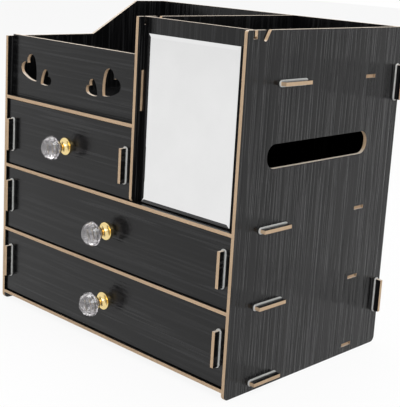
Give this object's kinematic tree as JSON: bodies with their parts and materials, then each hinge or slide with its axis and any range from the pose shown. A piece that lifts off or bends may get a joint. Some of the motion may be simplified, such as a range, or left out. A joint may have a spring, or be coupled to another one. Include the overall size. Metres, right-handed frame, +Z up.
{
  "type": "brush holder with drawer",
  "caption": "Board vanity organiser with an open tray, a shallow brush tray, a lift-out mirror over a side-slotted compartment, and sliding drawers with cut-glass knobs.",
  "frame": {"origin": "on the floor, under the middle of the box around the whole object with the drawers closed", "axes": "+Z up, -Y out of the drawer fronts, +X towards the mirror and the side with the long opening"},
  "size_m": [0.3126, 0.226, 0.291],
  "materials": {
    "black_board": "black wood-grain laminate on thin fibreboard",
    "grey_ring": "satin",
    "silvered_glass": "polished, bevelled edge",
    "brass": "polished",
    "cut_glass": "clear, faceted",
    "screw_steel": "zinc plated"
  },
  "bodies": {
    "cabinet": {"left_side_panel": "black_board", "right_side_panel": "black_board", "back_panel": "black_board", "divider_panel": "black_board", "bottom_shelf": "black_board", "lower_shelf": "black_board", "middle_shelf": "black_board", "tray_shelf": "black_board", "upper_shelf": "black_board", "tray_front_panel": "black_board", "left_tab_rings": "grey_ring", "right_tab_rings": "grey_ring"},
    "mirror": {"mirror_board": "black_board", "mirror_glass": "silvered_glass"},
    "upper_drawer": {"upper_drawer_front": "black_board", "upper_drawer_left_side": "black_board", "upper_drawer_right_side": "black_board", "upper_drawer_back": "black_board", "upper_drawer_floor": "black_board", "upper_drawer_rings": "grey_ring", "upper_knob_base": "brass", "upper_knob_crystal": "cut_glass", "upper_knob_screw": "screw_steel"},
    "middle_drawer": {"middle_drawer_front": "black_board", "middle_drawer_left_side": "black_board", "middle_drawer_right_side": "black_board", "middle_drawer_back": "black_board", "middle_drawer_floor": "black_board", "middle_drawer_rings": "grey_ring", "middle_knob_base": "brass", "middle_knob_crystal": "cut_glass", "middle_knob_screw": "screw_steel"},
    "lower_drawer": {"lower_drawer_front": "black_board", "lower_drawer_left_side": "black_board", "lower_drawer_right_side": "black_board", "lower_drawer_back": "black_board", "lower_drawer_floor": "black_board", "lower_drawer_rings": "grey_ring", "lower_knob_base": "brass", "lower_knob_crystal": "cut_glass", "lower_knob_screw": "screw_steel"}
  },
  "joints": [
    {"name": "upper_drawer_slide", "type": "slide", "parent": "cabinet", "child": "upper_drawer", "axis": [0, -1, 0], "range_m": [0, 0.15]},
    {"name": "middle_drawer_slide", "type": "slide", "parent": "cabinet", "child": "middle_drawer", "axis": [0, -1, 0], "range_m": [0, 0.15]},
    {"name": "lower_drawer_slide", "type": "slide", "parent": "cabinet", "child": "lower_drawer", "axis": [0, -1, 0], "range_m": [0, 0.15]},
    {"name": "mirror_lift", "type": "slide", "parent": "cabinet", "child": "mirror", "axis": [0, 0, 1], "range_m": [0, 0.16]}
  ]
}
